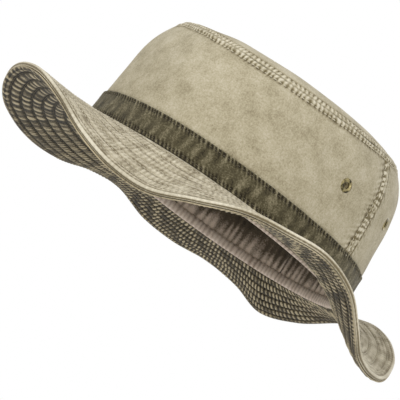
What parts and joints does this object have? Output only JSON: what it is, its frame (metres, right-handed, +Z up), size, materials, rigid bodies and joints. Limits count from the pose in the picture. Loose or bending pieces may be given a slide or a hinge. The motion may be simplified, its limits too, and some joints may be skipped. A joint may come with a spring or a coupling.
{
  "type": "bucket hat",
  "caption": "Washed cotton bucket hat with an oval crown, a darker hat band, a floppy row-stitched brim and brass eyelet vents.",
  "frame": {"origin": "centre of the head oval in the plane of the head seam, where the brim joins the crown", "axes": "+Z up through the crown tip, -Y to the front of the hat, +X to the wearer's left"},
  "size_m": [0.2744, 0.3021, 0.1185],
  "materials": {
    "crown_cloth": "washed cotton twill, matte",
    "band_cloth": "washed cotton twill, matte, dark olive",
    "brim_cloth": "washed cotton twill, matte",
    "under_brim_cloth": "washed cotton twill, matte",
    "stiffener_cloth": "woven stiffener, matte",
    "sweatband_cloth": "cotton twill, matte",
    "binding_cloth": "cotton tape, matte",
    "tape_cloth": "cotton tape, matte",
    "eyelet_brass": "antique brass, worn"
  },
  "bodies": {
    "root": {"crown_front_panel": "crown_cloth", "crown_back_panel": "crown_cloth", "crown_tip": "crown_cloth", "hat_band": "band_cloth", "brim_upper_front": "brim_cloth", "brim_upper_back": "brim_cloth", "brim_stiffener_front": "stiffener_cloth", "brim_stiffener_back": "stiffener_cloth", "brim_under_front": "under_brim_cloth", "brim_under_back": "under_brim_cloth", "sweatband": "sweatband_cloth", "sweatband_binding": "binding_cloth", "tip_seam_tape": "tape_cloth", "side_seam_tape_left": "tape_cloth", "side_seam_tape_right": "tape_cloth", "eyelet_left_front": "eyelet_brass", "washer_left_front": "eyelet_brass", "eyelet_left_back": "eyelet_brass", "washer_left_back": "eyelet_brass", "eyelet_right_front": "eyelet_brass", "washer_right_front": "eyelet_brass", "eyelet_right_back": "eyelet_brass", "washer_right_back": "eyelet_brass"}
  },
  "joints": []
}
